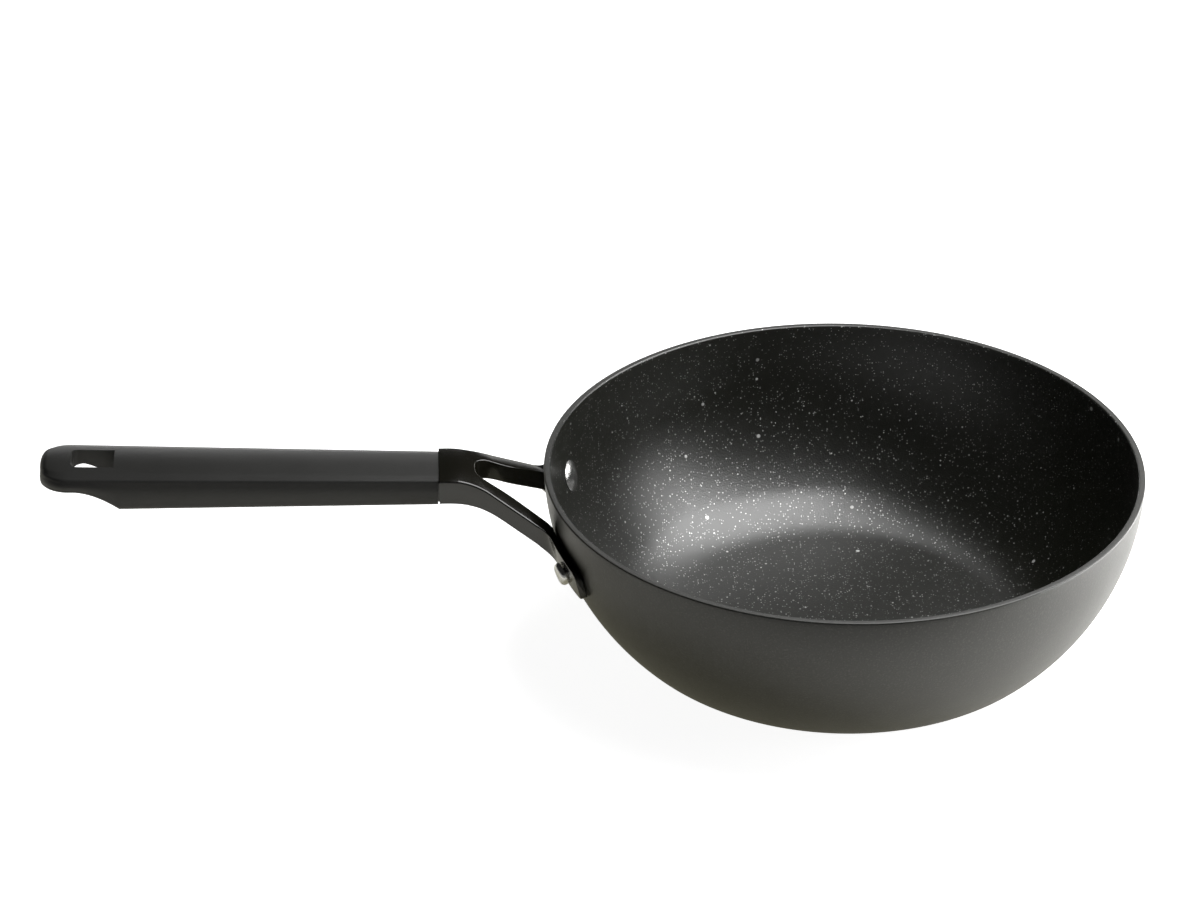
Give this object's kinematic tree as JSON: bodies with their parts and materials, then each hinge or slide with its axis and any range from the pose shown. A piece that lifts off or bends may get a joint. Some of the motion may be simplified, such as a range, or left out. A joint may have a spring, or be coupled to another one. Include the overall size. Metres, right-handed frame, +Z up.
{
  "type": "wok",
  "caption": "Deep round aluminium wok with a dark non-stick coating, a flat base and one long plastic-gripped handle riveted to its wall by a metal fork.",
  "frame": {"origin": "centre of the base, on the plane it stands on", "axes": "+Z up along the bowl's axis, handle towards -X, +Y completes the right-handed frame"},
  "size_m": [0.5129, 0.28, 0.1056],
  "materials": {
    "bowl_coating": "aluminium body with a dark speckled non-stick coating inside and a dark satin coating outside",
    "disc_steel": "brushed stainless steel",
    "fork_enamel": "semi-gloss black coating on cast metal",
    "rivet_aluminium": "polished",
    "grip_plastic": "matte black",
    "screw_steel": "bright steel"
  },
  "bodies": {
    "root": {"bowl": "bowl_coating", "base_disc": "disc_steel", "fork": "fork_enamel", "rivet_front": "rivet_aluminium", "rivet_rear": "rivet_aluminium", "grip": "grip_plastic", "grip_screw": "screw_steel"}
  },
  "joints": []
}
